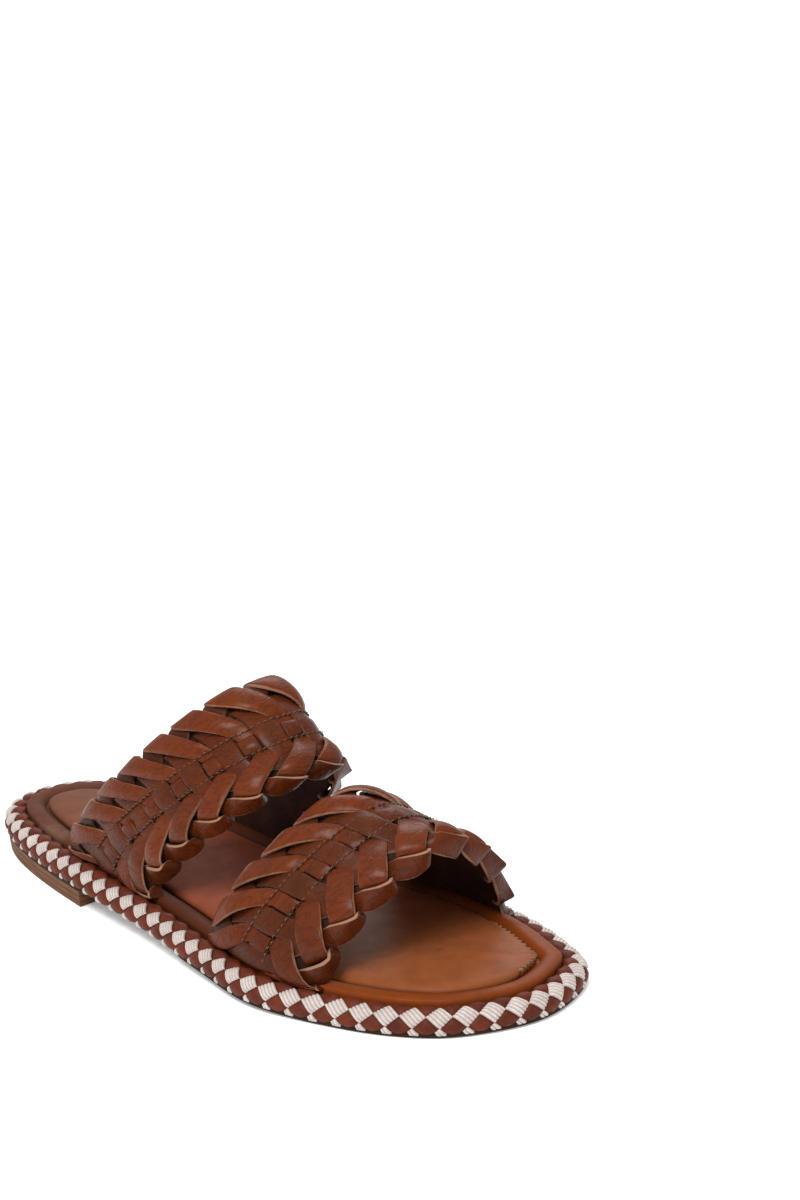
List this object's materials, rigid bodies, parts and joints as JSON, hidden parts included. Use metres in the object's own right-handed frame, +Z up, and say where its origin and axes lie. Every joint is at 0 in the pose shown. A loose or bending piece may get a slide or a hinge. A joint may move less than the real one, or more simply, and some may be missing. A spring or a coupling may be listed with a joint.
{
  "type": "huarache sandal",
  "caption": "Flat huarache slide sandal with woven leather straps over the instep and toes, a padded leather footbed, a braided edge and a low stacked heel.",
  "frame": {"origin": "on the floor, under the middle of the sandal's bounding box", "axes": "+Z up, -Y towards the toe, +X towards the wearer's left (the inner side of this right sandal)"},
  "size_m": [0.0964, 0.2484, 0.0761],
  "materials": {
    "sole_leather": "dark, smooth",
    "heel_stack": "matt, stacked layers",
    "braid_leather": "matt, cream and brown strips",
    "lining_leather": "smooth, half gloss",
    "strap_leather": "smooth, half gloss"
  },
  "bodies": {
    "root": {"outsole": "sole_leather", "heel": "heel_stack", "edge_braid": "braid_leather", "insole": "lining_leather", "footbed": "lining_leather", "rear_strap": "strap_leather", "front_strap": "strap_leather"}
  },
  "joints": []
}
